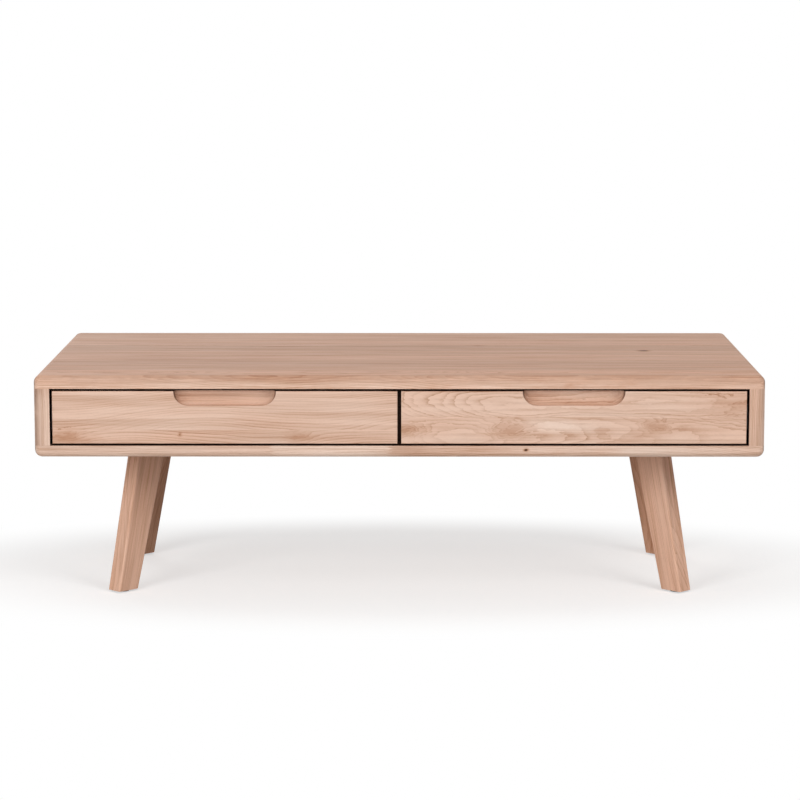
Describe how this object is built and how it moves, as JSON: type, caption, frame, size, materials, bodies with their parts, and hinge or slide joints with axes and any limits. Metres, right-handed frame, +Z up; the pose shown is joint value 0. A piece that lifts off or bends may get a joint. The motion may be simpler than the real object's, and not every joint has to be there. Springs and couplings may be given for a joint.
{
  "type": "coffee table",
  "caption": "Low oak coffee table: rounded case with side-by-side drawers on ball-bearing slides, scooped finger pulls, and splayed tapered legs.",
  "frame": {"origin": "on the floor under the middle of the table", "axes": "+Z up, +X to the right along the table's width as seen from the front, and the drawers open towards -Y"},
  "size_m": [1.3, 0.65, 0.42],
  "materials": {
    "oak": "solid oak staves, clear matt oil",
    "oak_plywood": "oak-faced plywood, clear matt lacquer",
    "drawer_wood": "solid drawer wood, clear matt lacquer",
    "beech": "fluted beech dowel, raw",
    "zinc_steel": "cold-rolled steel, bright zinc plated",
    "bearing_steel": "polished",
    "glide_plastic": "moulded, fine texture"
  },
  "bodies": {
    "carcass": {"top_panel": "oak", "bottom_panel": "oak", "left_side_panel": "oak", "right_side_panel": "oak", "centre_divider": "oak", "back_panel": "oak_plywood", "carcass_dowels": "beech", "front_left_leg": "oak", "front_right_leg": "oak", "rear_left_leg": "oak", "rear_right_leg": "oak", "leg_bolts": "zinc_steel", "leg_washers": "zinc_steel", "leg_inserts": "zinc_steel", "foot_glides": "glide_plastic", "glide_nails": "zinc_steel", "left_drawer_left_cabinet_rail": "zinc_steel", "left_drawer_right_cabinet_rail": "zinc_steel", "right_drawer_left_cabinet_rail": "zinc_steel", "right_drawer_right_cabinet_rail": "zinc_steel", "cabinet_rail_screws": "zinc_steel"},
    "left_drawer": {"left_drawer_front": "oak", "left_drawer_inner_front": "drawer_wood", "left_drawer_left_side": "drawer_wood", "left_drawer_right_side": "drawer_wood", "left_drawer_back": "drawer_wood", "left_drawer_tray": "oak_plywood", "left_drawer_dowels": "beech", "left_drawer_front_screws": "zinc_steel", "left_drawer_left_drawer_rail": "zinc_steel", "left_drawer_right_drawer_rail": "zinc_steel", "left_drawer_rail_screws": "zinc_steel"},
    "left_middle_rails": {"left_drawer_left_middle_rail": "zinc_steel", "left_drawer_right_middle_rail": "zinc_steel"},
    "left_outer_cages": {"left_drawer_outer_cages": "zinc_steel", "left_drawer_outer_balls": "bearing_steel"},
    "left_inner_cages": {"left_drawer_inner_cages": "zinc_steel", "left_drawer_inner_balls": "bearing_steel"},
    "right_drawer": {"right_drawer_front": "oak", "right_drawer_inner_front": "drawer_wood", "right_drawer_left_side": "drawer_wood", "right_drawer_right_side": "drawer_wood", "right_drawer_back": "drawer_wood", "right_drawer_tray": "oak_plywood", "right_drawer_dowels": "beech", "right_drawer_front_screws": "zinc_steel", "right_drawer_left_drawer_rail": "zinc_steel", "right_drawer_right_drawer_rail": "zinc_steel", "right_drawer_rail_screws": "zinc_steel"},
    "right_middle_rails": {"right_drawer_left_middle_rail": "zinc_steel", "right_drawer_right_middle_rail": "zinc_steel"},
    "right_outer_cages": {"right_drawer_outer_cages": "zinc_steel", "right_drawer_outer_balls": "bearing_steel"},
    "right_inner_cages": {"right_drawer_inner_cages": "zinc_steel", "right_drawer_inner_balls": "bearing_steel"}
  },
  "joints": [
    {"name": "left_drawer_slide", "type": "slide", "parent": "carcass", "child": "left_drawer", "axis": [0, -1, 0], "range_m": [0, 0.54]},
    {"name": "left_middle_rails_slide", "type": "slide", "parent": "carcass", "child": "left_middle_rails", "axis": [0, -1, 0], "range_m": [0, 0.27]},
    {"name": "left_outer_cages_slide", "type": "slide", "parent": "carcass", "child": "left_outer_cages", "axis": [0, -1, 0], "range_m": [0, 0.135]},
    {"name": "left_inner_cages_slide", "type": "slide", "parent": "carcass", "child": "left_inner_cages", "axis": [0, -1, 0], "range_m": [0, 0.405]},
    {"name": "right_drawer_slide", "type": "slide", "parent": "carcass", "child": "right_drawer", "axis": [0, -1, 0], "range_m": [0, 0.54]},
    {"name": "right_middle_rails_slide", "type": "slide", "parent": "carcass", "child": "right_middle_rails", "axis": [0, -1, 0], "range_m": [0, 0.27]},
    {"name": "right_outer_cages_slide", "type": "slide", "parent": "carcass", "child": "right_outer_cages", "axis": [0, -1, 0], "range_m": [0, 0.135]},
    {"name": "right_inner_cages_slide", "type": "slide", "parent": "carcass", "child": "right_inner_cages", "axis": [0, -1, 0], "range_m": [0, 0.405]}
  ],
  "couplings": [
    {"joint": "left_middle_rails_slide", "follows": "left_drawer_slide", "ratio": 0.5},
    {"joint": "left_outer_cages_slide", "follows": "left_drawer_slide", "ratio": 0.25},
    {"joint": "left_inner_cages_slide", "follows": "left_drawer_slide", "ratio": 0.75},
    {"joint": "right_middle_rails_slide", "follows": "right_drawer_slide", "ratio": 0.5},
    {"joint": "right_outer_cages_slide", "follows": "right_drawer_slide", "ratio": 0.25},
    {"joint": "right_inner_cages_slide", "follows": "right_drawer_slide", "ratio": 0.75}
  ]
}
